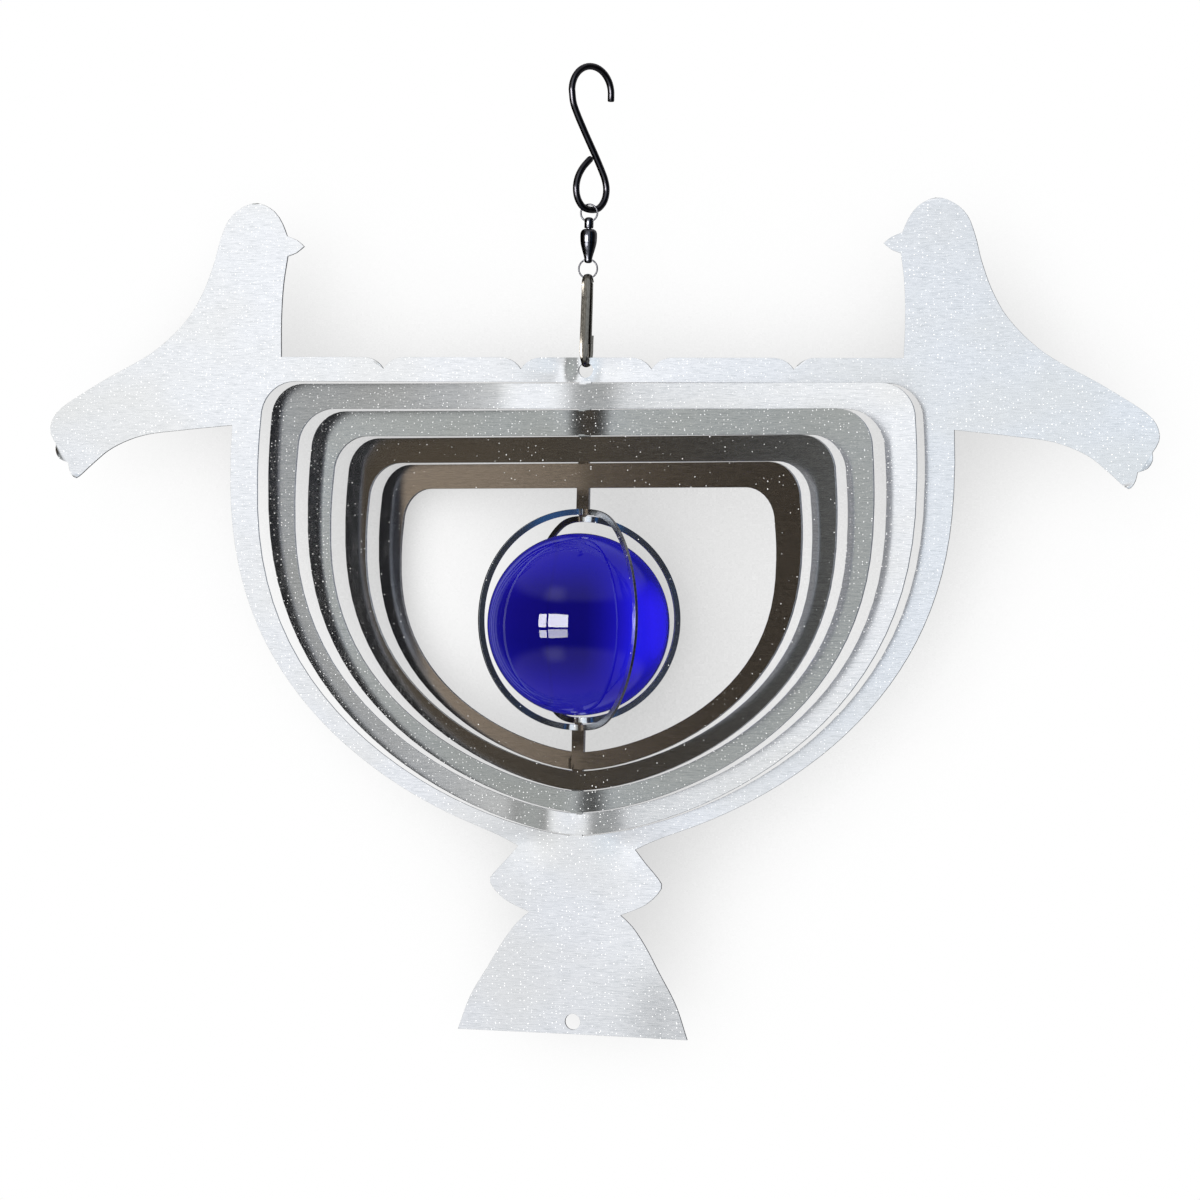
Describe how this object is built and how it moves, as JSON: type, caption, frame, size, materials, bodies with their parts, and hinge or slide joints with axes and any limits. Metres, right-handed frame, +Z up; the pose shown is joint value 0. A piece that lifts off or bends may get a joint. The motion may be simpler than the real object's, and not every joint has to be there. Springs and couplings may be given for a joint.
{
  "type": "hanging wind spinner",
  "caption": "Flat steel wind spinner: doves on a bird bath, nested bowl-shaped rings turned about one axis, and a caged blue glass ball, hung from a swivel.",
  "frame": {"origin": "the point inside the crown of the hanger hook that rests on the hanger's support; the vertical axis through it runs down the swivel, the rings' bridges and the base", "axes": "+Z up, X along the sheet from one dove's tail to the other, -Y out of the sheet's front face"},
  "size_m": [0.3148, 0.0503, 0.2663],
  "materials": {
    "dark_wire": "dark nickel-plated wire, glossy",
    "ring_wire": "dark bright-drawn wire",
    "black_nickel": "black nickel, polished",
    "bearing_steel": "polished bearing steel",
    "spring_strip": "dark nickel-plated spring strip",
    "brushed_sheet": "fine horizontal brushing with small sparkles",
    "cobalt_glass": "polished cobalt blue glass"
  },
  "bodies": {
    "hanger": {"hanger_hook": "dark_wire"},
    "upper_link": {"swivel_upper_ring": "ring_wire"},
    "stem": {"swivel_stem": "black_nickel"},
    "bearing": {"swivel_ball_1": "bearing_steel", "swivel_ball_2": "bearing_steel", "swivel_ball_3": "bearing_steel", "swivel_ball_4": "bearing_steel", "swivel_ball_5": "bearing_steel", "swivel_ball_6": "bearing_steel", "swivel_ball_7": "bearing_steel", "swivel_ball_8": "bearing_steel"},
    "barrel": {"swivel_barrel": "black_nickel"},
    "lower_link": {"swivel_lower_ring": "ring_wire"},
    "snap": {"snap_body": "spring_strip"},
    "gate": {"snap_gate": "spring_strip"},
    "plate": {"frame_plate": "brushed_sheet"},
    "first_ring": {"ring_1": "brushed_sheet"},
    "second_ring": {"ring_2": "brushed_sheet"},
    "third_ring": {"ring_3": "brushed_sheet"},
    "fourth_ring": {"ring_4": "brushed_sheet", "upper_neck": "brushed_sheet", "lower_neck": "brushed_sheet"},
    "cage_outer": {"cage_outer_ring": "brushed_sheet"},
    "cage_inner": {"cage_inner_ring": "brushed_sheet"},
    "ball": {"glass_ball": "cobalt_glass"}
  },
  "joints": [
    {"name": "upper_link_swing", "type": "hinge", "parent": "hanger", "child": "upper_link", "pos_m": [0, 0, -0.0384], "axis": [0.5736, 0.8192, 0], "range_deg": [-35, 35]},
    {"name": "stem_swing", "type": "hinge", "parent": "upper_link", "child": "stem", "pos_m": [0, 0, -0.04167], "axis": [1, 0, 0], "range_deg": [-35, 35]},
    {"name": "swivel_spin", "type": "hinge", "parent": "stem", "child": "barrel", "pos_m": [0, 0, -0.046], "axis": [0, 0, 1], "continuous": true},
    {"name": "bearing_orbit", "type": "hinge", "parent": "stem", "child": "bearing", "pos_m": [0, 0, -0.046], "axis": [0, 0, 1], "continuous": true},
    {"name": "lower_link_swing", "type": "hinge", "parent": "barrel", "child": "lower_link", "pos_m": [0, 0, -0.05203], "axis": [1, 0, 0], "range_deg": [-35, 35]},
    {"name": "snap_slide_round", "type": "hinge", "parent": "lower_link", "child": "snap", "pos_m": [0, 0, -0.05465], "axis": [0, 1, 0], "range_deg": [-30, 30]},
    {"name": "gate_open", "type": "hinge", "parent": "snap", "child": "gate", "pos_m": [0, 0.00195, -0.05835], "axis": [-1, 0, 0], "range_deg": [0, 10], "stiffness_Nm_per_rad": 0.02},
    {"name": "plate_swing", "type": "hinge", "parent": "snap", "child": "plate", "pos_m": [0, 0, -0.08135], "axis": [0, 1, 0], "range_deg": [-45, 45]},
    {"name": "ring_1_twist", "type": "hinge", "parent": "plate", "child": "first_ring", "pos_m": [0, 0, -0.145], "axis": [0, 0, 1], "range_deg": [-24, 36]},
    {"name": "ring_2_twist", "type": "hinge", "parent": "first_ring", "child": "second_ring", "pos_m": [0, 0, -0.145], "axis": [0, 0, 1], "range_deg": [-26, 34]},
    {"name": "ring_3_twist", "type": "hinge", "parent": "second_ring", "child": "third_ring", "pos_m": [0, 0, -0.145], "axis": [0, 0, 1], "range_deg": [-25, 35]},
    {"name": "ring_4_twist", "type": "hinge", "parent": "third_ring", "child": "fourth_ring", "pos_m": [0, 0, -0.145], "axis": [0, 0, 1], "range_deg": [-25, 35]},
    {"name": "cage_outer_twist", "type": "hinge", "parent": "fourth_ring", "child": "cage_outer", "pos_m": [0, 0, -0.1509], "axis": [0, 0, 1], "range_deg": [-40, 40]},
    {"name": "cage_inner_twist", "type": "hinge", "parent": "cage_outer", "child": "cage_inner", "pos_m": [0, 0, -0.1509], "axis": [0, 0, 1], "range_deg": [-15, 17]},
    {"name": "ball_roll", "type": "hinge", "parent": "cage_inner", "child": "ball", "pos_m": [-0.0008, 0.0004, -0.1522], "axis": [0, 0, 1], "continuous": true}
  ],
  "couplings": [
    {"joint": "bearing_orbit", "follows": "swivel_spin", "ratio": 0.5}
  ]
}
